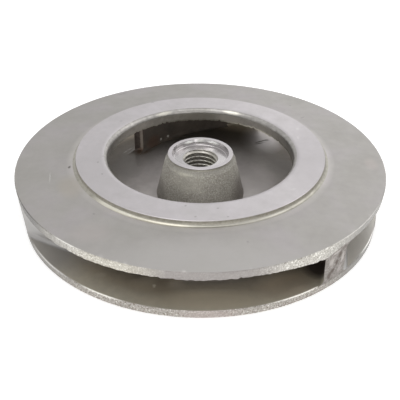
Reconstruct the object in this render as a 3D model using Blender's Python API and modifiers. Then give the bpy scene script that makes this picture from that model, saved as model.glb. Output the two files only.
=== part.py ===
"""Closed pump impeller: one casting, turned, bored and tapped.

Metres, +Z up. Z is the shaft's axis and points to the suction eye. The origin is
the centre of the flat back face. The vanes sweep clockwise on their way out when
they are seen from the eye.
"""

import math

import bmesh
import bpy

MM = 0.001

# Turned outside: the rim has a slight taper towards the back
FRONT_RADIUS = 100.0 * MM
BACK_RADIUS = 97.6 * MM
FRONT_EDGE_Z = 28.4 * MM
EDGE_BREAK = 0.4 * MM

# Back shroud and hub
BACK_SHROUD = 4.4 * MM
HUB_BASE_RADIUS = 24.8 * MM
HUB_NECK_RADIUS = 19.5 * MM
HUB_NECK_Z = 27.4 * MM
HUB_TOP_RADIUS = 17.9 * MM
HUB_TOP_Z = 31.4 * MM
HUB_TOP_ROUND = 0.8 * MM
HUB_FILLET = 1.6 * MM

# Shaft socket: counterbore, then a hole tapped M20 by 2.5
COUNTERBORE_RADIUS = 15.0 * MM
COUNTERBORE_FLOOR_Z = 28.0 * MM
THREAD_CORE_RADIUS = 8.65 * MM
THREAD_ROOT_RADIUS = 10.0 * MM
THREAD_MOUTH_RADIUS = 9.7 * MM
THREAD_PITCH = 2.5 * MM
THREAD_ROOT_FLAT = THREAD_PITCH / 8
THREAD_FLANK = math.radians(30.0)
THREAD_CLEAR = 0.25 * MM
THREAD_TURNS = 14
THREAD_START_Z = -3.2 * MM
STEPS_PER_TURN = 28
CUTTER_OVERRUN = 1.0 * MM

# Front shroud: it rises a little from the rim to the wear ring
FRONT_SHROUD = 4.4 * MM
SHROUD_RISE = 1.7 * MM
RING_TOP_Z = 33.0 * MM
RING_OUTER_RADIUS = 67.5 * MM
RING_INNER_RADIUS = 52.4 * MM
RING_FILLET = 1.8 * MM
EYE_RADIUS = 50.6 * MM
EYE_CHAMFER_Z = 30.8 * MM
EYE_BOTTOM_Z = 25.6 * MM

# Vanes: the angle between a vane and the circle grows from the nose to the rim.
# The third vane sits 8 degrees round from an even spacing, as cast.
VANE_TURNS = (0.0, 120.0, 248.0)
NOSE_RADIUS = 62.5 * MM
NOSE_ANGLE = math.radians(9.1)
NOSE_BLADE_ANGLE = math.radians(17.5)
RIM_BLADE_ANGLE = math.radians(34.0)
NOSE_THICKNESS = 3.8 * MM
RIM_THICKNESS = 8.2 * MM
NOSE_BEVEL = 1.1 * MM
VANE_SEAT = 1.4 * MM
VANE_OVERRUN = 5.0 * MM
VANE_STEPS = 18
CAMBER_SLICES = 60
TIP_INSET = 0.05 * MM

TURN_STEPS = 96
ARC_STEPS = 4
WELD = 0.001 * MM

CAST_COLOUR = (0.43, 0.42, 0.39, 1.0)
CAST_ROUGHNESS = 0.42
CAST_METALLIC = 0.9


def clear_scene():
    for obj in list(bpy.data.objects):
        bpy.data.objects.remove(obj, do_unlink=True)


def new_collection(name):
    collection = bpy.data.collections.new(name)
    bpy.context.scene.collection.children.link(collection)
    return collection


def cast_metal():
    material = bpy.data.materials.new("cast_metal")
    material.use_nodes = True
    shader = material.node_tree.nodes["Principled BSDF"]
    shader.inputs["Base Color"].default_value = CAST_COLOUR
    shader.inputs["Roughness"].default_value = CAST_ROUGHNESS
    shader.inputs["Metallic"].default_value = CAST_METALLIC
    return material


def rim_radius(height):
    """Radius of the tapered rim at a height over the back face."""
    return BACK_RADIUS + (FRONT_RADIUS - BACK_RADIUS) * height / FRONT_EDGE_Z


def arc(centre, radius, start, end):
    """Points of an arc in a profile, from start to end in degrees."""
    points = []
    for step in range(ARC_STEPS + 1):
        angle = math.radians(start + (end - start) * step / ARC_STEPS)
        points.append((centre[0] + radius * math.cos(angle), centre[1] + radius * math.sin(angle)))
    return points


def back_profile():
    """Hub and back shroud: out over the top, down the rim, in under the back, up to the seat."""
    hub_round = arc((HUB_TOP_RADIUS - HUB_TOP_ROUND, HUB_TOP_Z - HUB_TOP_ROUND), HUB_TOP_ROUND, 90, 10)
    hub_foot = arc((HUB_BASE_RADIUS + HUB_FILLET, BACK_SHROUD + HUB_FILLET), HUB_FILLET, 192, 270)
    return [
        (COUNTERBORE_RADIUS, HUB_TOP_Z),
        *hub_round,
        (HUB_NECK_RADIUS, HUB_NECK_Z),
        *hub_foot,
        (rim_radius(BACK_SHROUD) - EDGE_BREAK, BACK_SHROUD),
        (rim_radius(BACK_SHROUD - EDGE_BREAK), BACK_SHROUD - EDGE_BREAK),
        (rim_radius(EDGE_BREAK), EDGE_BREAK),
        (BACK_RADIUS - EDGE_BREAK, 0.0),
        (0.0, 0.0),
        (0.0, COUNTERBORE_FLOOR_Z),
        (COUNTERBORE_RADIUS, COUNTERBORE_FLOOR_Z),
    ]


def front_profile():
    """Wear ring and front shroud: out over the top, down the rim, in underneath, up the eye."""
    fillet_end = RING_OUTER_RADIUS + RING_FILLET
    shroud_z = FRONT_EDGE_Z + SHROUD_RISE
    underside_z = FRONT_EDGE_Z - FRONT_SHROUD
    ring_foot = arc((fillet_end, shroud_z + RING_FILLET), RING_FILLET, 180, 270)
    return [
        (RING_INNER_RADIUS, RING_TOP_Z),
        (RING_OUTER_RADIUS, RING_TOP_Z),
        *ring_foot,
        (FRONT_RADIUS - EDGE_BREAK, FRONT_EDGE_Z),
        (rim_radius(FRONT_EDGE_Z - EDGE_BREAK), FRONT_EDGE_Z - EDGE_BREAK),
        (rim_radius(underside_z), underside_z),
        (fillet_end, EYE_BOTTOM_Z),
        (EYE_RADIUS, EYE_BOTTOM_Z),
        (EYE_RADIUS, EYE_CHAMFER_Z),
    ]


def core_profile():
    """The thread's core hole, with a chamfer at both mouths, as a cutter that runs out of both."""
    mouth = THREAD_MOUTH_RADIUS - THREAD_CORE_RADIUS
    return [
        (0.0, COUNTERBORE_FLOOR_Z + CUTTER_OVERRUN),
        (THREAD_MOUTH_RADIUS + CUTTER_OVERRUN, COUNTERBORE_FLOOR_Z + CUTTER_OVERRUN),
        (THREAD_CORE_RADIUS, COUNTERBORE_FLOOR_Z - mouth),
        (THREAD_CORE_RADIUS, mouth),
        (THREAD_MOUTH_RADIUS + CUTTER_OVERRUN, -CUTTER_OVERRUN),
        (0.0, -CUTTER_OVERRUN),
    ]


def turned(name, profile, collection, steps=TURN_STEPS):
    """A closed profile at +X, turned once round Z."""
    points = [(radius, 0.0, height) for radius, height in profile]
    edges = [(index, (index + 1) % len(points)) for index in range(len(points))]
    mesh = bpy.data.meshes.new(name)
    mesh.from_pydata(points, edges, [])
    obj = bpy.data.objects.new(name, mesh)
    collection.objects.link(obj)
    screw = obj.modifiers.new("turn", "SCREW")
    screw.axis = "Z"
    screw.angle = math.tau
    screw.steps = steps
    screw.render_steps = steps
    screw.use_merge_vertices = True
    screw.merge_threshold = WELD
    return obj


def vane_share(radius):
    """0 at the nose, 1 at the rim."""
    return (radius - NOSE_RADIUS) / (FRONT_RADIUS - NOSE_RADIUS)


def blade_angle(radius):
    return NOSE_BLADE_ANGLE + (RIM_BLADE_ANGLE - NOSE_BLADE_ANGLE) * vane_share(radius)


def vane_thickness(radius):
    return NOSE_THICKNESS + (RIM_THICKNESS - NOSE_THICKNESS) * vane_share(radius)


def camber_angle(radius):
    """Angle round Z of a vane's middle line at a radius, found by adding up small slices."""
    step = (radius - NOSE_RADIUS) / CAMBER_SLICES
    angle = NOSE_ANGLE
    for index in range(CAMBER_SLICES):
        middle = NOSE_RADIUS + (index + 0.5) * step
        angle -= step / (middle * math.tan(blade_angle(middle)))
    return angle


def vane_side(side, start):
    """One face of a vane in plan: side is 1 for the outer face and -1 for the inner one."""
    points = []
    for index in range(VANE_STEPS + 1):
        radius = start + (FRONT_RADIUS + VANE_OVERRUN - start) * index / VANE_STEPS
        angle = camber_angle(radius)
        normal = angle + blade_angle(radius)
        half = side * vane_thickness(radius) / 2
        x = radius * math.cos(angle) + half * math.cos(normal)
        y = radius * math.sin(angle) + half * math.sin(normal)
        points.append((x, y))
    return points


def vane_outline():
    """A vane in plan. Its nose is bevelled on the inner side, so the inner face starts later."""
    outer = vane_side(1, NOSE_RADIUS)
    inner = vane_side(-1, NOSE_RADIUS + NOSE_BEVEL)
    return outer[::-1] + inner


def closed_mesh(name, source, collection):
    """A mesh object in place of a curve or a screwed profile, welded and with its ends closed."""
    bpy.context.view_layer.update()
    graph = bpy.context.evaluated_depsgraph_get()
    mesh = bpy.data.meshes.new_from_object(source.evaluated_get(graph))
    mesh.name = name
    welded = bmesh.new()
    welded.from_mesh(mesh)
    bmesh.ops.remove_doubles(welded, verts=welded.verts, dist=WELD)
    open_edges = [edge for edge in welded.edges if edge.is_boundary]
    bmesh.ops.holes_fill(welded, edges=open_edges, sides=0)
    bmesh.ops.recalc_face_normals(welded, faces=welded.faces)
    welded.to_mesh(mesh)
    welded.free()
    obj = bpy.data.objects.new(name, mesh)
    obj.matrix_world = source.matrix_world
    collection.objects.link(obj)
    bpy.data.objects.remove(source, do_unlink=True)
    return obj


def thread_groove(collection):
    """The space between the thread's crests: a section that climbs one pitch in each turn."""
    inner = THREAD_CORE_RADIUS - THREAD_CLEAR
    half_root = THREAD_ROOT_FLAT / 2
    half_inner = half_root + (THREAD_ROOT_RADIUS - inner) * math.tan(THREAD_FLANK)
    section = [
        (inner, -half_inner),
        (inner, half_inner),
        (THREAD_ROOT_RADIUS, half_root),
        (THREAD_ROOT_RADIUS, -half_root),
    ]
    raised = [(radius, THREAD_START_Z + height) for radius, height in section]
    helix = turned("thread_helix", raised, collection)
    screw = helix.modifiers["turn"]
    screw.use_merge_vertices = False
    screw.angle = math.tau * THREAD_TURNS
    screw.screw_offset = THREAD_PITCH * THREAD_TURNS
    screw.steps = STEPS_PER_TURN * THREAD_TURNS
    screw.render_steps = STEPS_PER_TURN * THREAD_TURNS
    return closed_mesh("thread_groove", helix, collection)


def vane(name, turn, collection):
    """An upright vane that stands in both shrouds and runs out past the rim."""
    bottom = BACK_SHROUD - VANE_SEAT
    top = EYE_BOTTOM_Z + VANE_SEAT
    curve = bpy.data.curves.new(name + "_outline", "CURVE")
    curve.dimensions = "2D"
    curve.fill_mode = "BOTH"
    curve.extrude = (top - bottom) / 2
    outline = vane_outline()
    spline = curve.splines.new("POLY")
    spline.points.add(len(outline) - 1)
    for point, (x, y) in zip(spline.points, outline):
        point.co = (x, y, 0.0, 1.0)
    spline.use_cyclic_u = True
    curve_object = bpy.data.objects.new(name + "_outline", curve)
    curve_object.location.z = (top + bottom) / 2
    curve_object.rotation_euler.z = turn
    collection.objects.link(curve_object)
    return closed_mesh(name, curve_object, collection)


def rim_envelope(collection):
    """The tapered outside that the vane tips are turned to."""
    overrun = VANE_OVERRUN
    profile = [
        (0.0, FRONT_EDGE_Z + overrun),
        (rim_radius(FRONT_EDGE_Z + overrun) - TIP_INSET, FRONT_EDGE_Z + overrun),
        (rim_radius(-overrun) - TIP_INSET, -overrun),
        (0.0, -overrun),
    ]
    return turned("rim_envelope", profile, collection)


def add_boolean(obj, other, operation):
    boolean = obj.modifiers.new(operation.lower() + "_" + other.name, "BOOLEAN")
    boolean.object = other
    boolean.operation = operation
    boolean.solver = "EXACT"


def as_helper(obj):
    obj.hide_render = True
    obj.display_type = "WIRE"


def impeller(parts, cutters):
    casting = turned("impeller_casting", back_profile(), parts)
    front = turned("front_shroud", front_profile(), cutters)
    envelope = rim_envelope(cutters)
    helpers = [front, envelope]
    for number, turn in enumerate(VANE_TURNS, start=1):
        blade = vane(f"vane_{number}", math.radians(turn), cutters)
        add_boolean(blade, envelope, "INTERSECT")
        add_boolean(casting, blade, "UNION")
        helpers.append(blade)
    core = turned("thread_core", core_profile(), cutters, STEPS_PER_TURN)
    core.rotation_euler.z = math.pi / STEPS_PER_TURN
    groove = thread_groove(cutters)
    helpers += [core, groove]
    add_boolean(casting, front, "UNION")
    add_boolean(casting, core, "DIFFERENCE")
    add_boolean(casting, groove, "DIFFERENCE")
    for helper in helpers:
        as_helper(helper)
    casting.data.materials.append(cast_metal())
    return casting


def shade(obj):
    """Bakes the modifiers in, then shades the turned faces smooth."""
    graph = bpy.context.evaluated_depsgraph_get()
    mesh = bpy.data.meshes.new_from_object(obj.evaluated_get(graph))
    obj.modifiers.clear()
    obj.data = mesh
    mesh.shade_smooth()
    mesh.set_sharp_from_angle(angle=math.radians(30))


def main():
    clear_scene()
    parts = new_collection("pump_impeller")
    cutters = new_collection("cutters")
    casting = impeller(parts, cutters)
    bpy.context.view_layer.update()
    shade(casting)


main()
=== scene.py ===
import itertools
import math

import bmesh
import bpy
import numpy as np
from mathutils import Matrix, Vector


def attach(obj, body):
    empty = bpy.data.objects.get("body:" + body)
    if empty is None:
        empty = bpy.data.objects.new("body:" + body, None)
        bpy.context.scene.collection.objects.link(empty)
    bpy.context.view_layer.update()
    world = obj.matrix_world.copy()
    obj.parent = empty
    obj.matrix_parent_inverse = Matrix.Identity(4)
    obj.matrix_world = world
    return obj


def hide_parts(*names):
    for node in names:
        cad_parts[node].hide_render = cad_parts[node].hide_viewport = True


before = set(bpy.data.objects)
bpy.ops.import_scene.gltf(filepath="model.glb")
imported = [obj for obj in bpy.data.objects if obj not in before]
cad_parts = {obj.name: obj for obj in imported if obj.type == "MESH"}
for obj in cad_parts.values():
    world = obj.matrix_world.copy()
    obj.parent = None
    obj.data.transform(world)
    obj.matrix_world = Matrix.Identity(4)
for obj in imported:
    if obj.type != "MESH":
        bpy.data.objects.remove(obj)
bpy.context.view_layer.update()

MM = 0.001

# Driving sizes, the same as in the CAD source
FRONT_RADIUS = 100.0 * MM
BACK_RADIUS = 97.6 * MM
FRONT_EDGE_Z = 28.4 * MM
BACK_SHROUD = 4.4 * MM
HUB_NECK_RADIUS = 19.5 * MM
HUB_NECK_Z = 27.4 * MM
HUB_TOP_RADIUS = 17.9 * MM
HUB_TOP_Z = 31.4 * MM
COUNTERBORE_RADIUS = 15.0 * MM
COUNTERBORE_FLOOR_Z = 28.0 * MM
THREAD_CORE_RADIUS = 8.65 * MM
THREAD_ROOT_RADIUS = 10.0 * MM
THREAD_MOUTH_RADIUS = 9.7 * MM
THREAD_PITCH = 2.5 * MM
THREAD_START_Z = -3.2 * MM
SHROUD_RISE = 1.7 * MM
RING_TOP_Z = 33.0 * MM
RING_OUTER_RADIUS = 67.5 * MM
RING_INNER_RADIUS = 52.4 * MM
RING_FILLET = 1.8 * MM
EYE_RADIUS = 50.6 * MM
EYE_CHAMFER_Z = 30.8 * MM
EYE_BOTTOM_Z = 25.6 * MM
VANE_TURNS = (0.0, 120.0, 248.0)
NOSE_RADIUS = 62.5 * MM
NOSE_ANGLE = math.radians(9.1)
NOSE_BLADE_ANGLE = math.radians(17.5)
RIM_BLADE_ANGLE = math.radians(34.0)
NOSE_THICKNESS = 3.8 * MM
RIM_THICKNESS = 8.2 * MM
NOSE_BEVEL = 1.1 * MM

# The front shroud's rim with its torn lip hangs 0.5 mm lower than in the CAD source
FRONT_SHROUD = 4.9 * MM

# Small features that only the visual model has
VANE_FILLET = 2.0 * MM
FOOT_FILLET = 0.5 * MM
FOOT_RADIUS = 24.6 * MM
EDGE_BREAK = 0.4 * MM
BACK_BREAK = 0.55 * MM
TIP_SAG = 2.6 * MM
TIP_SAG_ANGLE = 22.0
TIP_SAG_END_ANGLE = 6.0
TIP_SAG_START_RADIUS = 80 * MM
TIP_SAG_REACH = 18 * MM
TIP_SAG_FLOOR_Z = 20 * MM
RIM_TOP_RADIUS = FRONT_RADIUS - 0.45 * MM
EYE_LIP_RADIUS = EYE_RADIUS + 1.0 * MM
EYE_LIP_DROP = 0.5 * MM
CHAMFER_BOW = 2.6 * MM
CONE_TOP_Z = HUB_TOP_Z - 1.1 * MM
SEAT_HOLE_RADIUS = 16.6 * MM
SEAT_STEM_RADIUS = 16.95 * MM
COUNTERBORE_FLARE = 0.6 * MM
COUNTERBORE_FLARE_Z = HUB_TOP_Z - 1.8 * MM
NOSE_BULGE = 0.35 * MM
NOSE_COLUMNS = 6
TIP_INSET = 0.03 * MM
TIP_GRIT = 0.14 * MM
OUTER_FOOT_RADIUS = 85 * MM
FOOT_LEVELS = 8

# Sizes of the grains that roughen the turned and cast faces
GRAIN = 0.6 * MM
CONE_GRAIN = 0.5 * MM
CHIP_SIZE = 1.0 * MM
CHIP_PATH_RADIUS = 70 * MM

# Points around each turned piece, and rows along the thread
FRONT_STEPS = 1150
BACK_STEPS = 760
SEAT_STEPS = 300
THREAD_ROWS = 230
SHARP_ANGLE = 38.0

# Finish numbers of the faces, in the order of object_materials
SKIN, TURNED, RIM, RAW, BORE, FLOOR, CREASE_SHADE, GLINT = range(8)
CONE, SEAT, SIDE, HOLLOW, TIP, CHAMFER, BACK_RIM, NOSE = range(8, 16)

# Odd factors that scatter a lattice corner's number, so that its value looks random
CORNER_FACTORS = (73856093, 19349663, 83492791)
SEED_FACTOR, FIRST_FACTOR, SECOND_FACTOR = 2654435761, 2246822519, 3266489917


def lattice_noise(points, size, seed):
    """Smooth noise from 0 to 1 on a cubic lattice of the given size, for an array of points."""
    scaled = points / size
    cell = np.floor(scaled).astype(np.int64)
    part = scaled - cell
    part = part * part * (3 - 2 * part)
    total = np.zeros(points.shape[:-1])
    for corner in itertools.product((0, 1), repeat=3):
        index = cell + np.array(corner)
        along_x, along_y, along_z = (index[..., axis] * CORNER_FACTORS[axis] for axis in range(3))
        key = along_x ^ along_y ^ along_z
        key = (key + seed * SEED_FACTOR) & 0xFFFFFFFF
        key = (key ^ (key >> 15)) * FIRST_FACTOR & 0xFFFFFFFF
        key = (key ^ (key >> 13)) * SECOND_FACTOR & 0xFFFFFFFF
        value = ((key ^ (key >> 16)) & 0xFFFF) / 65535.0
        weight = np.prod(np.where(np.array(corner) == 1, part, 1 - part), axis=-1)
        total += weight * value
    return total


def grit_noise(points, size, seed):
    """Grains with a few deeper pits, from 0 to 1."""
    coarse_size, pit_size, pit_level, pit_depth = size * 3.1, size * 1.6, 0.72, 3.0
    fine_share, coarse_share = 0.45, 0.3
    fine = lattice_noise(points, size, seed)
    coarse = lattice_noise(points, coarse_size, seed + 1)
    pits = np.clip(lattice_noise(points, pit_size, seed + 2) - pit_level, 0, 1) * pit_depth
    return np.clip(fine_share * fine + coarse_share * coarse + pits, 0, 1)


def rim_radius(height):
    return BACK_RADIUS + (FRONT_RADIUS - BACK_RADIUS) * height / FRONT_EDGE_Z


def underside_z(radius):
    """Height of the front shroud's underside at a radius."""
    outer_z = FRONT_EDGE_Z - FRONT_SHROUD
    inner = RING_OUTER_RADIUS + RING_FILLET
    share = (radius - inner) / (rim_radius(outer_z) - inner)
    return EYE_BOTTOM_Z + (outer_z - EYE_BOTTOM_Z) * np.clip(share, 0, 1)


def tip_sag(radius, height, angle):
    """How far the front shroud's underside drops in the corner beside each vane tip."""
    depth = np.clip((FRONT_EDGE_Z - EDGE_BREAK - height) / FRONT_SHROUD, 0, 1)
    outward = np.clip((radius - TIP_SAG_START_RADIUS) / TIP_SAG_REACH, 0, 1)
    share = outward * depth * (height > TIP_SAG_FLOOR_Z)
    corner = math.degrees(TIP_INNER_ANGLE)
    near = np.zeros_like(angle)
    for turn in VANE_TURNS:
        away = (corner + turn - np.degrees(angle) + 180) % 360 - 180
        rise = np.clip(1 - away / TIP_SAG_ANGLE, 0, 1) ** 2 * (away >= 0)
        fall = np.clip(1 + away / TIP_SAG_END_ANGLE, 0, 1) * (away < 0)
        near = np.maximum(near, rise + fall)
    return TIP_SAG * share[:, None] * near[None]


class Profile:
    """Rows of a turned shape, clockwise: radius, height, finish, grit depth and size, chips, thread."""

    def __init__(self):
        self.rows = []

    def line(self, start, end, count, finish, grit=0.0, size=MM, ragged=0.0):
        """A straight stretch without its last point; ragged is the depth of the chips in its edge."""
        for step in range(count):
            share = step / count
            radius = start[0] + (end[0] - start[0]) * share
            height = start[1] + (end[1] - start[1]) * share
            self.rows.append((radius, height, finish, grit, size, ragged, 0))

    def arc(self, centre, radius, start, end, count, finish, grit=0.0, size=MM):
        """A round stretch between two angles in degrees, without its last point."""
        for step in range(count):
            angle = math.radians(start + (end - start) * step / count)
            point = (centre[0] + radius * math.cos(angle), centre[1] + radius * math.sin(angle))
            self.rows.append((*point, finish, grit, size, 0.0, 0))

    def thread(self, start_z, end_z, count, finish):
        """A threaded stretch of the bore, going up."""
        for step in range(count):
            height = start_z + (end_z - start_z) * step / count
            self.rows.append((THREAD_CORE_RADIUS, height, finish, 0.0, MM, 0.0, 1))


def thread_radius(height, angle):
    """Radius of the tapped bore: crests at the core radius, a chamfer at the mouth."""
    turns = (height - THREAD_START_Z) / THREAD_PITCH - angle / math.tau
    away = np.abs((turns + 0.5) % 1.0 - 0.5) * THREAD_PITCH
    slope = np.clip(away - THREAD_PITCH / 16, 0, None) / math.tan(math.radians(30))
    wall = np.maximum(THREAD_ROOT_RADIUS - slope, THREAD_CORE_RADIUS)
    mouth = THREAD_MOUTH_RADIUS - (COUNTERBORE_FLOOR_Z - height)
    return np.maximum(wall, mouth)


def normals_of(radius, height):
    """Outward unit normals of a clockwise closed profile."""
    step_r = np.roll(radius, -1) - np.roll(radius, 1)
    step_z = np.roll(height, -1) - np.roll(height, 1)
    length = np.maximum(np.hypot(step_r, step_z), 1e-9)
    return -step_z / length, step_r / length


def turned_points(profile, steps, seed):
    """Points of a turned piece: row by row, then round the axis."""
    table = np.array(profile.rows, float)
    radius, height, _, grit, size, ragged, threaded = table.T
    angle = np.linspace(0, math.tau, steps, endpoint=False)
    cos, sin = np.cos(angle), np.sin(angle)
    flat = np.stack([np.outer(radius, cos), np.outer(radius, sin)], -1)
    base = np.concatenate([flat, np.repeat(height[:, None, None], steps, 1)], -1)
    depth = grit[:, None] * grit_noise(base, size[:, None, None], seed)
    normal_r, normal_z = normals_of(radius, height)
    wall = radius[:, None] - normal_r[:, None] * depth
    level = height[:, None] - normal_z[:, None] * depth
    path = np.stack([CHIP_PATH_RADIUS * cos, CHIP_PATH_RADIUS * sin, np.zeros(steps)], -1)
    chips = grit_noise(path, CHIP_SIZE, seed + 7)
    level = level + ragged[:, None] * chips[None]
    level = level - tip_sag(radius, height, angle)
    cut = thread_radius(height[:, None], angle[None])
    wall = np.where(threaded[:, None] == 1, cut, wall)
    return np.stack([wall * cos, wall * sin, level], -1)


def grid_faces(rows, columns):
    """Quads of a grid that closes on itself both ways."""
    row, column = np.meshgrid(np.arange(rows), np.arange(columns), indexing="ij")
    next_row, next_column = (row + 1) % rows, (column + 1) % columns
    corners = [row * columns + column, row * columns + next_column]
    corners += [next_row * columns + next_column, next_row * columns + column]
    return np.stack([corner.ravel() for corner in corners], 1)


def mesh_object(name, points, faces, finishes, materials):
    """A smooth-shaded object with one finish number per face."""
    mesh = bpy.data.meshes.new(name)
    mesh.from_pydata(points.reshape(-1, 3).tolist(), [], [list(face) for face in faces])
    for material in materials:
        mesh.materials.append(material)
    mesh.polygons.foreach_set("material_index", np.array(finishes, np.int32))
    tidy = bmesh.new()
    tidy.from_mesh(mesh)
    bmesh.ops.recalc_face_normals(tidy, faces=tidy.faces)
    tidy.to_mesh(mesh)
    tidy.free()
    mesh.shade_smooth()
    mesh.set_sharp_from_angle(angle=math.radians(SHARP_ANGLE))
    obj = bpy.data.objects.new(name, mesh)
    bpy.context.scene.collection.objects.link(obj)
    return obj


def turned_piece(name, profile, steps, materials, seed):
    """A profile turned round the shaft's axis."""
    points = turned_points(profile, steps, seed)
    faces = grid_faces(len(profile.rows), steps)
    finishes = np.repeat([row[2] for row in profile.rows], steps)
    return mesh_object(name, points, faces.tolist(), finishes, materials)


def ring_rows(profile, shroud_z):
    """The wear ring: flat top, outer wall and the fillet at its foot."""
    edge = 0.25 * MM
    corner = RING_OUTER_RADIUS
    foot = corner + RING_FILLET
    centre_z = shroud_z + RING_FILLET
    profile.line((RING_INNER_RADIUS, RING_TOP_Z), (corner - edge, RING_TOP_Z), 7, TURNED)
    profile.line((corner - edge, RING_TOP_Z), (corner, RING_TOP_Z - edge), 2, TURNED)
    # Painted shade on the outer wall and the upper fillet, a painted highlight on the lower fillet
    profile.line((corner, RING_TOP_Z - edge), (corner, centre_z), 2, CREASE_SHADE)
    profile.arc((foot, centre_z), RING_FILLET, 180, 212, 3, CREASE_SHADE)
    profile.arc((foot, centre_z), RING_FILLET, 212, 270, 6, GLINT)


def rim_rows(profile, low_z):
    """The front shroud's turned rim, torn along its lower edge."""
    top_z = FRONT_EDGE_Z - EDGE_BREAK
    torn_z = low_z + 0.7 * MM
    ragged = 0.9 * MM
    top, torn, low = ((rim_radius(height), height) for height in (top_z, torn_z, low_z))
    profile.line((RIM_TOP_RADIUS, FRONT_EDGE_Z), top, 2, RIM, 0.12 * MM, GRAIN)
    profile.line(top, torn, 9, RIM, 0.2 * MM, GRAIN)
    profile.line(torn, low, 3, RIM, 0.35 * MM, GRAIN, ragged)


def eye_rows(profile):
    """The ragged lower edge of the eye, its bored wall and the rounded chamfer."""
    low = EYE_BOTTOM_Z - EYE_LIP_DROP
    edge, lip, wall = ((EYE_RADIUS, low + rise) for rise in (0.1 * MM, 1.0 * MM, 2.3 * MM))
    ragged = 1.3 * MM
    profile.line((EYE_LIP_RADIUS, low), edge, 3, RAW, 0.2 * MM, 0.8 * MM, ragged)
    # A painted highlight along the eye's torn lip
    profile.line(edge, lip, 2, GLINT, 0.1 * MM, GRAIN, ragged)
    profile.line(lip, wall, 4, BORE, 0.1 * MM, GRAIN, ragged)
    profile.line(wall, (EYE_RADIUS, EYE_CHAMFER_Z), 5, BORE, 0.08 * MM, GRAIN)
    centre = (EYE_RADIUS + CHAMFER_BOW, EYE_CHAMFER_Z - 0.4 * MM)
    profile.arc(centre, CHAMFER_BOW, 180, 112, 6, CHAMFER, 0.06 * MM, 0.7 * MM)


def front_profile():
    """Wear ring and front shroud: over the ring, down the rim, in underneath, up the eye."""
    foot = RING_OUTER_RADIUS + RING_FILLET
    shroud_z = FRONT_EDGE_Z + SHROUD_RISE
    low_z = FRONT_EDGE_Z - FRONT_SHROUD
    low = rim_radius(low_z)
    inside = low - 1.2 * MM
    profile = Profile()
    ring_rows(profile, shroud_z)
    profile.line((foot, shroud_z), (RIM_TOP_RADIUS, FRONT_EDGE_Z), 15, SKIN)
    rim_rows(profile, low_z)
    profile.line((low, low_z), (inside, low_z), 3, RAW, 0.2 * MM, GRAIN, 0.9 * MM)
    profile.line((inside, low_z), (foot, EYE_BOTTOM_Z), 6, RAW)
    profile.line((foot, EYE_BOTTOM_Z), (EYE_LIP_RADIUS, EYE_BOTTOM_Z), 4, RAW)
    eye_rows(profile)
    return profile


def cone_rows(profile):
    """The hub's cast cone, from just under its turned top down to its small foot fillet."""
    neck = (HUB_NECK_RADIUS, HUB_NECK_Z)
    top = (HUB_TOP_RADIUS - 0.1 * MM, HUB_TOP_Z - 0.8 * MM)
    low = (FOOT_RADIUS, BACK_SHROUD + 2.4 * MM)
    foot = FOOT_RADIUS + 0.2 * MM
    profile.line((SEAT_HOLE_RADIUS, CONE_TOP_Z), top, 2, RAW)
    groove = (top[0] + 0.25 * MM, top[1] - 0.65 * MM)
    # Painted shade: a dark line in the groove under the hub's turned top
    profile.line(top, groove, 2, CREASE_SHADE)
    profile.line(groove, neck, 8, CONE, 0.16 * MM, CONE_GRAIN)
    profile.line(neck, low, 40, CONE, 0.2 * MM, CONE_GRAIN)
    fillet_z = BACK_SHROUD + FOOT_FILLET
    profile.line(low, (foot - FOOT_FILLET, fillet_z), 6, CONE, 0.1 * MM, CONE_GRAIN)
    profile.arc((foot, fillet_z), FOOT_FILLET, 180, 270, 4, FLOOR)
    return foot


def back_rows(profile, foot):
    """The back shroud: inner floor, rim and flat back face."""
    top = BACK_SHROUD - BACK_BREAK
    edge = rim_radius(BACK_SHROUD) - BACK_BREAK
    low = rim_radius(EDGE_BREAK)
    mouth = THREAD_MOUTH_RADIUS
    profile.line((foot, BACK_SHROUD), (edge, BACK_SHROUD), 20, FLOOR)
    profile.line((edge, BACK_SHROUD), (rim_radius(top), top), 3, BACK_RIM, 0.1 * MM, GRAIN)
    profile.line((rim_radius(top), top), (low, EDGE_BREAK), 8, BACK_RIM, 0.2 * MM, GRAIN)
    profile.line((low, EDGE_BREAK), (BACK_RADIUS - EDGE_BREAK, 0.0), 2, BACK_RIM)
    profile.line((BACK_RADIUS - EDGE_BREAK, 0.0), (mouth + 0.6 * MM, 0.0), 12, TURNED)
    profile.line((mouth + 0.6 * MM, 0.0), (mouth, 0.7 * MM), 2, BORE)
    profile.line((mouth, 0.7 * MM), (mouth, 1.2 * MM), 2, BORE)


def back_profile():
    """Hub cone and back shroud, with a hidden bore that the hub seat stands in."""
    profile = Profile()
    foot = cone_rows(profile)
    back_rows(profile, foot)
    low = (SEAT_HOLE_RADIUS, 1.6 * MM)
    profile.line((THREAD_MOUTH_RADIUS, 1.2 * MM), low, 2, RAW)
    profile.line(low, (SEAT_HOLE_RADIUS, CONE_TOP_Z), 2, RAW)
    return profile


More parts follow.
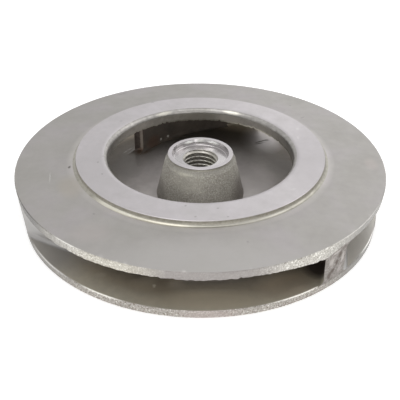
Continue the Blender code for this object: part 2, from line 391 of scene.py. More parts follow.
def seat_profile():
    """The hub's turned top, its counterbore and the tapped hole."""
    low, lip, fillet, edge = 1.0 * MM, 0.35 * MM, 0.4 * MM, 0.2 * MM
    wall, floor, stem = COUNTERBORE_RADIUS, COUNTERBORE_FLOOR_Z, SEAT_STEM_RADIUS
    neck = (HUB_TOP_RADIUS - 0.05 * MM, HUB_TOP_Z - 0.75 * MM)
    shoulder = (stem, HUB_TOP_Z - 1.0 * MM)
    land = (wall + COUNTERBORE_FLARE, HUB_TOP_Z)
    profile = Profile()
    profile.line(land, (HUB_TOP_RADIUS - lip, HUB_TOP_Z), 5, TURNED)
    profile.arc((HUB_TOP_RADIUS - lip, HUB_TOP_Z - lip), lip, 90, 0, 4, TURNED)
    # Painted shade: a dark line in the step under the seat's rounded lip
    profile.line((HUB_TOP_RADIUS, HUB_TOP_Z - lip), neck, 2, CREASE_SHADE)
    profile.line(neck, shoulder, 2, RAW)
    profile.line(shoulder, (stem, low), 2, RAW)
    profile.line((stem, low), (THREAD_ROOT_RADIUS + edge, low), 2, BORE)
    profile.thread(low, floor, THREAD_ROWS, BORE)
    profile.line((THREAD_MOUTH_RADIUS, floor), (wall - fillet, floor), 6, SEAT)
    profile.arc((wall - fillet, floor + fillet), fillet, -90, 0, 4, SEAT)
    profile.line((wall, floor + fillet), (wall, COUNTERBORE_FLARE_Z), 3, SEAT)
    profile.line((wall, COUNTERBORE_FLARE_Z), land, 4, SEAT)
    return profile


# Points along a vane's middle line, its sides, its tip and its nose, and its levels
CAMBER_STATIONS = 800
VANE_STATIONS = 84
TIP_STATIONS = 22
NOSE_STATIONS = 7
FILLET_STATIONS = 9
MIDDLE_STATIONS = 26
FILLET_CROWDING = 1.6
SEARCH_STEPS = 30

# The ends of a vane that a level's distance is taken from; BETWEEN takes a share of the height
AT_BACK, AT_FRONT, BETWEEN = range(3)


def camber_table():
    """Radius and angle of a vane's middle line."""
    radius = np.linspace(NOSE_RADIUS - 4 * MM, FRONT_RADIUS + 6 * MM, CAMBER_STATIONS)
    slope = 1 / (radius * np.tan(blade_angle(radius)))
    angle = -np.concatenate([[0], np.cumsum((slope[1:] + slope[:-1]) / 2 * np.diff(radius))])
    return radius, angle - np.interp(NOSE_RADIUS, radius, angle) + NOSE_ANGLE


def vane_share(radius):
    return np.clip((radius - NOSE_RADIUS) / (FRONT_RADIUS - NOSE_RADIUS), -0.1, 1.2)


def blade_angle(radius):
    return NOSE_BLADE_ANGLE + (RIM_BLADE_ANGLE - NOSE_BLADE_ANGLE) * vane_share(radius)


def vane_side(radius, side, flare):
    """Points of one face of a vane in plan, at radii of its middle line."""
    angle = np.interp(radius, *CAMBER)
    normal = angle + blade_angle(radius)
    thickness = NOSE_THICKNESS + (RIM_THICKNESS - NOSE_THICKNESS) * vane_share(radius)
    half = side * (thickness / 2 + flare)
    x = radius * np.cos(angle) + half * np.cos(normal)
    y = radius * np.sin(angle) + half * np.sin(normal)
    return np.stack([x, y], -1)


def tip_station(limit, side, flare):
    """Radius on the middle line whose side point lies on the rim."""
    low, high = FRONT_RADIUS - 15 * MM, FRONT_RADIUS + 5.5 * MM
    for _ in range(SEARCH_STEPS):
        middle = (low + high) / 2
        reach = np.hypot(*vane_side(np.array([middle]), side, flare)[0])
        low, high = (middle, high) if reach < limit else (low, middle)
    return low


def vane_loop(flare, limit):
    """A vane's outline in plan, with the tip on the rim of radius limit."""
    share = np.linspace(0, 1, VANE_STATIONS)
    outer_start = NOSE_RADIUS - flare
    inner_start = NOSE_RADIUS + NOSE_BEVEL - flare
    outer = vane_side(outer_start + share * (tip_station(limit, 1, flare) - outer_start), 1, flare)
    inner = vane_side(inner_start + share * (tip_station(limit, -1, flare) - inner_start), -1, flare)
    outer_angle = math.atan2(outer[-1][1], outer[-1][0])
    inner_angle = math.atan2(inner[-1][1], inner[-1][0])
    across = np.linspace(outer_angle, inner_angle, TIP_STATIONS + 2)[1:-1]
    tip = np.stack([limit * np.cos(across), limit * np.sin(across)], -1)
    nose_share = np.linspace(0, 1, NOSE_STATIONS + 2)[1:-1, None]
    bulge = 4 * nose_share * (1 - nose_share) * NOSE_BULGE
    chord = inner[0] + (outer[0] - inner[0]) * nose_share
    nose = chord * (1 - bulge / np.linalg.norm(chord, axis=1, keepdims=True))
    return np.concatenate([outer, tip, inner[::-1], nose])


CAMBER = camber_table()
TIP_INNER = vane_side(np.array([tip_station(rim_radius(FRONT_EDGE_Z - FRONT_SHROUD), -1, 0)]), -1, 0)[0]
TIP_INNER_ANGLE = math.atan2(TIP_INNER[1], TIP_INNER[0])


def vane_levels():
    """(end, distance from that end, flare, tip inset) from the back shroud up to the front one."""
    fillet = VANE_FILLET
    steps = [fillet * share**FILLET_CROWDING for share in np.linspace(0, 1, FILLET_STATIONS)]
    foot = [(step, fillet - math.sqrt(fillet**2 - (fillet - step) ** 2)) for step in steps]
    sunk, sunk_inset = -1.0 * MM, 0.6 * MM
    low = [(AT_BACK, sunk, fillet, sunk_inset), (AT_BACK, -0.42 * MM, fillet, TIP_INSET)]
    low += [(AT_BACK, step, flare, TIP_INSET) for step, flare in foot]
    high = [(AT_FRONT, step, flare, TIP_INSET) for step, flare in foot[::-1]]
    high += [(AT_FRONT, -0.3 * MM, fillet, TIP_INSET), (AT_FRONT, sunk, fillet, sunk_inset)]
    shares = np.linspace(0, 1, MIDDLE_STATIONS)[1:-1]
    middle = [(BETWEEN, share, 0.0, TIP_INSET) for share in shares]
    return low + middle + high


def vane_level(end, distance, flare, inset):
    """One ring of points of a vane, cut to the rim at about its own height."""
    floor_z, top_guess = BACK_SHROUD + distance, FRONT_EDGE_Z - FRONT_SHROUD - distance
    mid_low, mid_high = BACK_SHROUD + VANE_FILLET, FRONT_EDGE_Z - FRONT_SHROUD - VANE_FILLET
    guess = (floor_z, top_guess, mid_low + (mid_high - mid_low) * distance)[end]
    plan = vane_loop(flare, rim_radius(guess) - inset)
    top = underside_z(np.hypot(plan[:, 0], plan[:, 1]))
    middle = mid_low + (top - VANE_FILLET - mid_low) * distance
    height = (np.full(len(plan), floor_z), top - distance, middle)[end]
    return np.column_stack([plan, height])


def vane_piece(name, turn, materials, seed):
    """One vane, sunk into both shrouds: its tip, nose and two sides have finishes of their own."""
    rings = np.array([vane_level(*level) for level in vane_levels()])
    count = rings.shape[1]
    tip = np.zeros(count, bool)
    tip[VANE_STATIONS : VANE_STATIONS + TIP_STATIONS] = True
    depth = np.where(tip, TIP_GRIT, 0.0) * grit_noise(rings, CONE_GRAIN, seed)
    radius = np.hypot(rings[..., 0], rings[..., 1])
    rings[..., :2] *= (1 - depth / radius)[..., None]
    turn = Matrix.Rotation(math.radians(turn), 3, "Z")
    points = rings.reshape(-1, 3) @ np.array(turn).T
    levels = len(rings)
    faces = grid_faces(levels, count)[: (levels - 1) * count].tolist()
    faces += [list(range(count)), list(range((levels - 1) * count, levels * count))]
    tip_faces = tip | np.roll(tip, -1)
    column = np.arange(count)
    inner = (column >= VANE_STATIONS + TIP_STATIONS) & (column < count - NOSE_STATIONS - 1)
    # The inner sides' dark brown is oxide film and painted shade; the noses' dark is painted shade
    around = np.where(tip_faces, TIP, np.where(inner, HOLLOW, SIDE))
    around[(column < NOSE_COLUMNS) | (column >= count - NOSE_STATIONS - 1)] = NOSE
    outer = (around == HOLLOW) & (radius[0] > OUTER_FOOT_RADIUS)
    foot = np.where(outer | (around == NOSE), FLOOR, around)
    above = levels - 1 - FOOT_LEVELS
    finishes = np.concatenate([np.tile(foot, FOOT_LEVELS), np.tile(around, above), [RAW, RAW]])
    return mesh_object(name, points, faces, finishes, materials)


# Marks are shaken within a span of WOBBLE, and their tint fades between two shares of their half size
WOBBLE = 0.9 * MM
WOBBLE_GRAIN = 1.1 * MM
MARK_FADE = (0.5, 1.1)

# The part of a noise's range that its values mostly lie in
NOISE_SPAN = (0.3, 0.7)

# Blender's wave texture turns by 20 radians for each unit of length at scale 1
WAVE_RADIANS = 20

# Outer radius of the painted light band beside the wear ring, and the specks on the smooth faces
PAINTED_LIGHT_BAND_RADIUS = 73 * MM
SPECK_SIZE = 1.7 * MM
SPECK_LEVELS = (0.7, 0.78)
SPECK_STRENGTH = 0.3
SPECK_COLOUR = (0.26, 0.25, 0.24)

# Radii between which the inner floor changes its colour, partly its own tone and partly painted shade
# and light
FLOOR_TONE_AND_LIGHT_RADII = (26 * MM, 96 * MM)

PALE = (0.85, 0.84, 0.78)
WHITE = (0.97, 0.96, 0.9)
DARK = (0.1, 0.09, 0.08)
BROWN = (0.16, 0.1, 0.065)
UMBER = (0.09, 0.065, 0.05)
LILAC = (0.46, 0.43, 0.42)
CREAM = (0.9, 0.87, 0.76)
GREY = (0.28, 0.27, 0.26)

# Single marks: centre and half sizes in millimetres, turn in degrees, tint and strength
SKIN_MARKS = (
    ((-69.6, -14.1, 30.1), (0.9, 1.6, 1.5), 0, DARK, 0.75),
    ((-78.3, -23.7, 29.4), (5.8, 0.35, 1.5), 278, (0.6, 0.59, 0.57), 0.6),
    ((-51.0, -57.4, 29.7), (0.7, 0.9, 1.5), 0, GREY, 0.7),
    ((-10.7, -85.2, 29.2), (1.8, 0.8, 1.5), 0, (0.34, 0.33, 0.31), 0.6),
    ((21.8, -78.6, 29.4), (0.6, 0.8, 1.5), 0, GREY, 0.6),
    ((61.6, 47.1, 29.6), (1.9, 0.5, 1.5), 45, GREY, 0.75),
    ((55.9, 64.5, 29.2), (0.9, 0.7, 1.5), 0, GREY, 0.6),
    ((-51.0, 81.4, 28.6), (4.5, 0.7, 1.5), 32, GREY, 0.55),
    ((-66.2, -33.6, 29.8), (7, 12, 6), 20, (0.44, 0.4, 0.345), 0.45),
    ((-50.9, -72.1, 29.0), (11, 8, 6), 0, (0.46, 0.42, 0.41), 0.4),
    ((92.4, -6.7, 28.8), (4, 7, 6), 0, (0.47, 0.42, 0.4), 0.4),
    # Painted light: the shroud lighter towards its front edge
    ((0.0, -92.0, 29.0), (50, 16, 6), 0, (0.45, 0.435, 0.42), 0.7),
)
RING_MARKS = (
    # Painted shade: the next two darken the ring face on its right and, a little, on its left
    ((60.0, -8.0, 33.0), (18, 42, 3), 0, (0.465, 0.442, 0.45), 0.6),
    ((-56.0, -24.0, 33.0), (20, 30, 3), 0, (0.5, 0.478, 0.482), 0.5),
    ((-54.3, -13.8, 33.0), (0.6, 0.8, 1.0), 0, GREY, 0.6),
    ((-50.6, -25.7, 33.0), (0.6, 0.8, 1.0), 0, GREY, 0.55),
    ((-7.0, -54.7, 33.0), (0.7, 0.7, 1.0), 0, GREY, 0.6),
    ((8.5, -56.8, 33.0), (0.7, 0.6, 1.0), 0, GREY, 0.55),
    ((-2.1, -64.0, 33.0), (0.6, 0.7, 1.0), 0, GREY, 0.55),
    ((13.1, -63.9, 33.0), (0.8, 0.6, 1.0), 0, GREY, 0.55),
    ((55.9, 25.8, 33.0), (1.1, 1.6, 1.0), 10, (0.62, 0.6, 0.6), 0.6),
    ((55.0, 15.2, 33.0), (0.9, 1.8, 1.0), 0, (0.6, 0.58, 0.58), 0.55),
    ((46.8, -39.0, 33.0), (1.5, 1.0, 1.0), 40, (0.6, 0.58, 0.58), 0.55),
    ((-29.8, 59.7, 33.0), (1.4, 0.5, 1.0), 28, GREY, 0.6),
    ((-46.7, 34.3, 33.0), (0.9, 0.6, 1.0), 0, GREY, 0.5),
)
FLOOR_MARKS_AND_PAINTED_LIGHT = (
    # Painted light: the floor lit through the outlet at the right, behind the hub
    ((40.0, 66.0, 4.4), (14.0, 19.0, 3.0), 0, (0.62, 0.59, 0.6), 0.65),
    # Painted shade: a soft dark band on the floor beside that lit patch
    ((45.0, 39.0, 4.4), (20.0, 3.2, 3.0), -57, (0.26, 0.24, 0.23), 0.5),
    ((33.0, 15.0, 4.4), (12.0, 20.0, 3.0), 0, (0.58, 0.55, 0.54), 0.5),
    # Painted shadow: the floor dark behind the hub
    ((-2.0, 70.0, 4.4), (42.0, 13.0, 3.0), -8, (0.15, 0.13, 0.112), 0.65),
    ((38.9, 63.2, 4.4), (5.4, 0.9, 1.5), 28, DARK, 0.95),
    ((38.0, 60.6, 4.4), (4.2, 0.7, 1.5), 20, DARK, 0.8),
    ((42.6, 64.8, 4.4), (2.0, 1.4, 1.5), 0, DARK, 0.6),
    ((-44.4, 52.0, 4.4), (2.6, 0.5, 1.5), 50, (0.6, 0.57, 0.55), 0.5),
    ((-46.9, 48.5, 4.4), (2.2, 0.5, 1.5), 60, (0.6, 0.57, 0.55), 0.5),
    ((-36.0, 49.4, 5.2), (6.5, 4.2, 3.0), 40, BROWN, 0.85),
    # Painted highlight at the foot of the nose
    ((-33.6, 50.2, 5.6), (1.9, 0.9, 1.2), 20, CREAM, 0.8),
    ((-21.5, -80.4, 4.4), (0.9, 1.5, 1.5), 0, CREAM, 1.0),
    ((-48.0, -72.6, 4.4), (3.4, 2.2, 1.5), 0, (0.55, 0.5, 0.42), 0.5),
    # Painted light: the next three make the floor lighter just inside the front opening
    ((-20.0, -79.0, 4.4), (13.0, 7.0, 3.0), 0, (0.56, 0.49, 0.385), 0.5),
    ((6.0, -90.5, 4.4), (36.0, 8.0, 3.0), 0, (0.74, 0.655, 0.51), 0.65),
    ((42.0, -79.0, 4.4), (17.0, 11.0, 3.0), 20, (0.7, 0.58, 0.44), 0.55),
    # Painted shadow on the floor beside the right vane tip
    ((58.5, -66.0, 4.4), (9.0, 9.0, 3.0), 0, (0.11, 0.085, 0.075), 0.95),
    # Painted light on the floor seen through the right opening
    ((84.0, -42.0, 4.4), (26.0, 34.0, 3.0), 0, (0.6, 0.585, 0.57), 0.8),
    ((-80.0, -48.0, 4.4), (30.0, 38.0, 3.0), 0, (0.375, 0.36, 0.345), 0.85),
    # Painted shade: the next two are soft dark bands on the floor at the left and right of the eye
    ((-43.0, 29.0, 4.4), (9.0, 14.0, 3.0), 0, (0.3, 0.285, 0.275), 0.5),
    ((50.0, 31.0, 4.4), (11.0, 9.0, 3.0), 0, (0.3, 0.285, 0.275), 0.45),
)
RIM_MARKS = (
    ((4.0, -100.0, 26.0), (40, 14, 8), 0, (0.285, 0.262, 0.255), 0.85),
    # Painted shade: the next two darken both sides of the rims
    ((-92.0, -55.0, 15.0), (38, 50, 40), 0, (0.25, 0.238, 0.22), 0.9),
    ((90.0, -52.0, 15.0), (38, 50, 40), 0, (0.27, 0.26, 0.245), 0.9),
    # Painted highlight in a notch of the rim
    ((52.1, -84.9, 27.8), (0.6, 1.0, 0.9), 0, PALE, 0.8),
    ((-38.0, -92.0, 26.0), (24, 10, 6), -22, (0.62, 0.575, 0.44), 0.22),
    # Painted shade: a dark band on the rim's left
    ((-86.0, -51.0, 26.2), (20, 6, 4.0), -58, (0.13, 0.125, 0.12), 0.75),
    # Painted highlights: the next two are lines along the rim's top edge
    ((-61.0, -79.0, 28.3), (10, 4, 0.5), -38, (0.95, 0.93, 0.88), 0.8),
    ((77.0, -62.0, 28.3), (28, 8, 0.5), 51, (0.95, 0.93, 0.88), 0.4),
)
# Painted shade at both sides of the back rim, painted light low at its front, and painted highlights
# along its top edge
BACK_RIM_PAINTED_LIGHT = (
    *RIM_MARKS[1:3],
    ((4.0, -96.0, 2.0), (16, 6, 4), 0, (0.48, 0.41, 0.39), 0.5),
    ((-46.0, -84.5, 4.4), (13, 5, 0.8), -28, (1.0, 0.98, 0.9), 1.0),
    ((46.5, -84.0, 4.4), (17, 5, 0.8), 29, (1.0, 0.98, 0.9), 1.0),
    ((86.0, -43.0, 4.4), (14, 5, 0.8), 63, (1.0, 0.98, 0.95), 1.0),
    ((-75.0, -62.0, 4.3), (20, 5, 0.7), -50, (0.85, 0.83, 0.8), 0.7),
)
# Painted highlights on the ring's fillet and the eye's torn lip, with painted shade that dims them in
# places
PAINTED_GLINT_MARKS = (
    ((-41.0, -55.0, 30.4), (18, 5, 3), -37, (0.85, 0.82, 0.71), 0.8),
    ((-18.0, -66.5, 30.4), (18, 5, 3), -15, (0.6, 0.57, 0.48), 0.7),
    ((30.0, -62.0, 30.4), (18, 5, 3), 26, (0.6, 0.58, 0.52), 0.6),
    ((2.5, -69.0, 30.4), (10, 4, 3), 0, (0.3, 0.29, 0.25), 0.6),
    ((-4.0, 51.0, 25.9), (22, 8, 2), 0, (0.16, 0.145, 0.12), 0.5),
    ((29.9, 38.2, 25.7), (21, 6.5, 2), -38, CREAM, 0.85),
)
# Painted shade at the back of the eye's bore, and painted light at its back right and on the thread's
# right side
BORE_PAINTED_LIGHT = (
    ((0.0, 51.0, 27.8), (13, 6, 5), 0, (0.33, 0.31, 0.27), 0.6),
    ((17.5, 47.5, 27.8), (9, 6, 5), 0, (0.62, 0.59, 0.54), 0.7),
    ((6.5, 3.0, 18.5), (6, 9, 9), 0, (0.66, 0.64, 0.54), 0.6),
)
# Painted reflections: two bright spots on the counterbore's back wall, with a dark one between them
SEAT_PAINTED_REFLECTIONS = (
    ((-6.6, 13.6, 30.2), (2.8, 2.5, 1.0), 24, (1.0, 1.0, 0.97), 0.9),
    ((7.2, 13.2, 30.2), (3.8, 2.5, 1.0), -28, (1.0, 1.0, 0.97), 0.9),
    ((0.2, 15.4, 30.4), (3.2, 2.5, 1.6), 0, (0.2, 0.2, 0.185), 0.75),
)
# Painted shade on the hub cone's top band, towards its bottom and at both sides, and a painted sheen at
# its front left
CONE_PAINTED_LIGHT = (
    ((0.0, 0.0, 29.6), (30.0, 30.0, 2.6), 0, (0.25, 0.24, 0.215), 0.6),
    ((0.0, 0.0, 4.4), (40.0, 40.0, 15.0), 0, (0.14, 0.125, 0.11), 0.55),
    ((-8.0, -18.5, 24.0), (12.0, 12.0, 7.0), 0, (0.54, 0.515, 0.45), 0.4),
    ((-9.0, -17.5, 27.6), (5.0, 4.0, 1.2), 0, (0.62, 0.6, 0.5), 0.4),
    ((-23.5, -8.0, 8.0), (7.0, 13.0, 13.0), 0, (0.13, 0.115, 0.1), 0.5),
    ((23.5, -8.0, 9.0), (8.5, 13.0, 15.0), 0, (0.12, 0.1, 0.09), 0.55),
)
HOLLOW_MARKS = (
    ((-30.0, 57.0, 7.0), (7.0, 6.0, 5.0), 0, (0.1, 0.055, 0.035), 0.7),
    # Painted sparkles: the next two
    ((-21.0, 65.3, 6.7), (1.0, 0.9, 0.9), 0, PALE, 0.6),
    ((-25.3, 61.6, 6.5), (1.0, 0.9, 0.9), 0, PALE, 0.6),
)
NOSE_MARKS = (
    # Painted highlights down the nose's right edge and at its foot; a brown stain at its foot
    ((-36.6, 50.3, 12.0), (1.3, 1.4, 14.0), 0, (0.5, 0.44, 0.38), 0.7),
    ((-34.6, 51.0, 6.0), (1.4, 1.4, 1.2), 0, CREAM, 0.9),
    ((-37.6, 50.5, 5.0), (2.6, 2.0, 2.0), 0, BROWN, 0.8),
)
TIP_MARKS = (
    ((65.8, -74.0, 19.4), (1.3, 4, 2.8), 41, UMBER, 0.95),
    ((64.3, -74.4, 15.0), (1.2, 4, 2.6), 41, UMBER, 0.9),
    ((62.5, -75.1, 10.8), (1.5, 4, 1.8), 41, UMBER, 0.9),
    ((67.9, -72.7, 22.6), (1.8, 4, 1.2), 41, UMBER, 0.6),
    ((60.8, -76.0, 8.4), (1.8, 4, 2.8), 41, UMBER, 0.8),
    ((61.4, -77.2, 16.8), (1.8, 4, 2.8), 41, (0.55, 0.51, 0.48), 0.5),
    ((63.4, -75.8, 21.6), (2.8, 4, 1.0), 41, (0.55, 0.51, 0.48), 0.55),
    ((67.4, -72.0, 16.5), (1.2, 4, 3.6), 41, (0.52, 0.48, 0.45), 0.6),
    ((66.5, -71.9, 9.5), (1.6, 4, 3.0), 41, (0.46, 0.42, 0.4), 0.5),
    ((70.8, -70.6, 21.5), (2.0, 4, 2.4), 41, UMBER, 0.55),
)
# Painted highlights on the eye's chamfer at the back left and right, and painted shade between them
CHAMFER_PAINTED_LIGHT = (
    ((18.9, 47.7, 32.2), (6.0, 1.5, 1.2), -22, CREAM, 0.65),
    ((-22.1, 46.2, 32.0), (5.5, 1.5, 1.2), 26, CREAM, 0.6),
    ((0.0, 51.5, 31.5), (9.0, 3.0, 3.0), 0, (0.2, 0.19, 0.17), 0.5),
)


class Paint:
    """A small helper that builds a node material round the shader."""

    def __init__(self, name, roughness, metallic):
        self.material = bpy.data.materials.new(name)
        self.material.use_nodes = True
        self.tree = self.material.node_tree
        self.shader = self.tree.nodes["Principled BSDF"]
        self.shader.inputs["Roughness"].default_value = roughness
        self.shader.inputs["Metallic"].default_value = metallic
        self.place = self.tree.nodes.new("ShaderNodeTexCoord").outputs["Object"]
        self.wobbly = None

    def noise(self, size, detail, rough, seed=0.0):
        node = self.tree.nodes.new("ShaderNodeTexNoise")
        mapping = self.tree.nodes.new("ShaderNodeMapping")
        mapping.inputs["Location"].default_value = (seed, seed * 0.7, -seed)
        self.tree.links.new(self.place, mapping.inputs["Vector"])
        self.tree.links.new(mapping.outputs["Vector"], node.inputs["Vector"])
        node.inputs["Scale"].default_value = 1 / size
        node.inputs["Detail"].default_value = detail
        node.inputs["Roughness"].default_value = rough
        return node.outputs["Fac"]

    def ramp(self, value, stops):
        node = self.tree.nodes.new("ShaderNodeValToRGB")
        elements = node.color_ramp.elements
        while len(elements) < len(stops):
            elements.new(0.5)
        for element, (position, colour) in zip(elements, stops):
            element.position = position
            element.color = (*colour, 1)
        self.tree.links.new(value, node.inputs["Fac"])
        return node.outputs["Color"]

    def range(self, value, low, high, to_low, to_high):
        node = self.tree.nodes.new("ShaderNodeMapRange")
        numbers = {"From Min": low, "From Max": high, "To Min": to_low, "To Max": to_high}
        for socket, number in numbers.items():
            node.inputs[socket].default_value = number
        self.tree.links.new(value, node.inputs["Value"])
        return node.outputs["Result"]

    def mix(self, share, first, second, blend="MIX"):
        node = self.tree.nodes.new("ShaderNodeMix")
        node.data_type = "RGBA"
        node.blend_type = blend
        for index, value in ((0, share), (6, first), (7, second)):
            if isinstance(value, (int, float)):
                node.inputs[index].default_value = value
            elif isinstance(value, tuple):
                node.inputs[index].default_value = (*value, 1)
            else:
                self.tree.links.new(value, node.inputs[index])
        return node.outputs[2]

    def vector(self, operation, first, second=None):
        node = self.tree.nodes.new("ShaderNodeVectorMath")
        node.operation = operation
        self.tree.links.new(first, node.inputs[0])
        if isinstance(second, tuple):
            node.inputs[1].default_value = second
        elif second is not None:
            self.tree.links.new(second, node.inputs[1])
        return node.outputs["Value" if operation == "LENGTH" else "Vector"]

    def wobble(self):
        """The position, shaken a little so that marks get uneven outlines."""
        if self.wobbly is None:
            node = self.tree.nodes.new("ShaderNodeTexNoise")
            node.inputs["Scale"].default_value = 1 / WOBBLE_GRAIN
            self.tree.links.new(self.place, node.inputs["Vector"])
            centred = self.vector("SUBTRACT", node.outputs["Color"], (0.5, 0.5, 0.5))
            shake = self.vector("MULTIPLY", centred, (WOBBLE, WOBBLE, WOBBLE))
            self.wobbly = self.vector("ADD", self.place, shake)
        return self.wobbly

    def mark(self, colour, centre, size, turn, tint, strength):
        """Tint the colour inside a soft ellipsoid: centre and half sizes in millimetres."""
        node = self.tree.nodes.new("ShaderNodeMapping")
        node.vector_type = "TEXTURE"
        node.inputs["Location"].default_value = [value * MM for value in centre]
        node.inputs["Rotation"].default_value = (0, 0, math.radians(turn))
        node.inputs["Scale"].default_value = [value * MM for value in size]
        self.tree.links.new(self.wobble(), node.inputs["Vector"])
        reach = self.vector("LENGTH", node.outputs["Vector"])
        return self.mix(self.range(reach, *MARK_FADE, strength, 0), colour, tint)

    def from_axis(self):
        """Distance from the shaft's axis."""
        return self.vector("LENGTH", self.vector("MULTIPLY", self.place, (1, 1, 0)))

    def rings(self, pitch):
        """Concentric turning marks."""
        node = self.tree.nodes.new("ShaderNodeTexWave")
        node.wave_type = "RINGS"
        node.rings_direction = "Z"
        node.inputs["Scale"].default_value = math.tau / (WAVE_RADIANS * pitch)
        node.inputs["Distortion"].default_value = 0.6
        self.tree.links.new(self.place, node.inputs["Vector"])
        return node.outputs["Fac"]

    def bump(self, value, strength, distance):
        node = self.tree.nodes.new("ShaderNodeBump")
        node.inputs["Strength"].default_value = strength
        node.inputs["Distance"].default_value = distance
        self.tree.links.new(value, node.inputs["Height"])
        previous = self.shader.inputs["Normal"].links
        if previous:
            self.tree.links.new(previous[0].from_socket, node.inputs["Normal"])
        self.tree.links.new(node.outputs["Normal"], self.shader.inputs["Normal"])

    def feed(self, socket, value):
        self.tree.links.new(value, self.shader.inputs[socket])

    def coat(self, colour, marks, cloud_size, cloud_seed, roughness, bump):
        """Base colour with single marks, roughness in clouds between two values, and a fine bump."""
        for mark in marks:
            colour = self.mark(colour, *mark)
        self.feed("Base Color", colour)
        cloud = self.noise(cloud_size, 3, 0.5, cloud_seed)
        self.feed("Roughness", self.range(cloud, *NOISE_SPAN, *roughness))
        size, depth, strength = bump
        self.bump(self.noise(size, 3, 0.6), strength, depth)


def metal(name, roughness, metallic, size, stops, bump, cloud=(0.95, 1.05), marks=()):
    """A grainy metal with clouds and single marks; its bump is (grain size, depth, strength)."""
    paint = Paint(name, roughness, metallic)
    tone = paint.ramp(paint.noise(size, 4, 0.65), stops)
    shade = paint.range(paint.noise(size * 8, 4, 0.6, seed=1.3), *NOISE_SPAN, *cloud)
    colour = paint.mix(1.0, tone, shade, "MULTIPLY")
    spread = 0.12 * roughness
    paint.coat(colour, marks, size * 5, 4.4, (roughness - spread, roughness + spread), bump)
    return paint


def smooth_metal(name, roughness, metallic, stops, bump, patch, marks, foot=1.0):
    """A finely finished metal with patches, clouds, specks, single marks and a painted light band
    beside the ring.
    """
    paint = Paint(name, roughness, metallic)
    tone = paint.ramp(paint.noise(patch, 3, 0.55, seed=3.1), stops)
    cloud = paint.range(paint.noise(patch / 4, 4, 0.6), *NOISE_SPAN, 0.965, 1.03)
    colour = paint.mix(1.0, tone, cloud, "MULTIPLY")
    # Painted light: a band beside the wear ring, foot times as light at its fillet, fading out at the
    # band's radius
    near = paint.range(paint.from_axis(), RING_OUTER_RADIUS + RING_FILLET, PAINTED_LIGHT_BAND_RADIUS, foot, 1.0)
    colour = paint.mix(1.0, colour, near, "MULTIPLY")
    speckle = paint.noise(SPECK_SIZE, 2, 0.6, seed=8.0)
    specks = paint.range(speckle, *SPECK_LEVELS, 0, SPECK_STRENGTH)
    colour = paint.mix(specks, colour, SPECK_COLOUR)
    paint.coat(colour, marks, 5 * MM, 6.0, (roughness - 0.05, roughness + 0.05), bump)
    return paint


def skin_material():
    """Blasted shroud face: warm grey, with faint lilac and olive patches, and painted light beside the
    ring and at the front.
    """
    stops = [(0.35, (0.385, 0.37, 0.35)), (0.5, (0.405, 0.388, 0.372)), (0.65, (0.418, 0.395, 0.392))]
    # foot: the painted light band beside the ring is 1.28 times as light
    bump, patch, foot = (0.7 * MM, 0.03 * MM, 0.25), 26 * MM, 1.28
    return smooth_metal("shroud_skin", 0.5, 0.75, stops, bump, patch, SKIN_MARKS, foot).material


def turned_material():
    """Finely turned face: lighter and cooler, with faint smears."""
    stops = [(0.35, (0.53, 0.505, 0.51)), (0.65, (0.572, 0.543, 0.556))]
    bump, patch = (0.5 * MM, 0.02 * MM, 0.15), 14 * MM
    paint = smooth_metal("turned_face", 0.42, 0.8, stops, bump, patch, RING_MARKS)
    paint.bump(paint.rings(0.9 * MM), 0.06, 0.02 * MM)
    return paint.material


def seat_material():
    """Bright turned counterbore with fine turning lines and painted reflections on its wall."""
    stops = [(0.35, (0.5, 0.48, 0.48)), (0.65, (0.57, 0.55, 0.55))]
    bump = (0.5 * MM, 0.02 * MM, 0.1)
    paint = metal("turned_seat", 0.2, 0.95, 2.0 * MM, stops, bump, marks=SEAT_PAINTED_REFLECTIONS)
    paint.bump(paint.rings(0.5 * MM), 0.15, 0.03 * MM)
    return paint.material


def inner_floor_material():
    """Inner face of the back shroud: lilac grey at the hub, then dark brown as painted shade, then
    olive at the rim, lightened as painted light.
    """
    paint = Paint("inner_floor", 0.4, 0.65)
    outward = paint.range(paint.from_axis(), *FLOOR_TONE_AND_LIGHT_RADII, 0, 1)
    # The dark brown further out is painted shade under the front shroud, and the lighter olive at the
    # rim is painted light
    near = [(0.25, LILAC), (0.5, (0.29, 0.27, 0.255)), (0.74, (0.17, 0.145, 0.115))]
    far = [(0.86, (0.46, 0.4, 0.31)), (0.93, (0.58, 0.53, 0.43)), (1.0, (0.65, 0.605, 0.5))]
    tone = paint.ramp(outward, near + far)
    cloud = paint.range(paint.noise(4 * MM, 4, 0.6), *NOISE_SPAN, 0.92, 1.05)
    colour = paint.mix(1.0, tone, cloud, "MULTIPLY")
    paint.coat(colour, FLOOR_MARKS_AND_PAINTED_LIGHT, 6 * MM, 0.0, (0.36, 0.46), (0.9 * MM, 0.03 * MM, 0.15))
    return paint.material


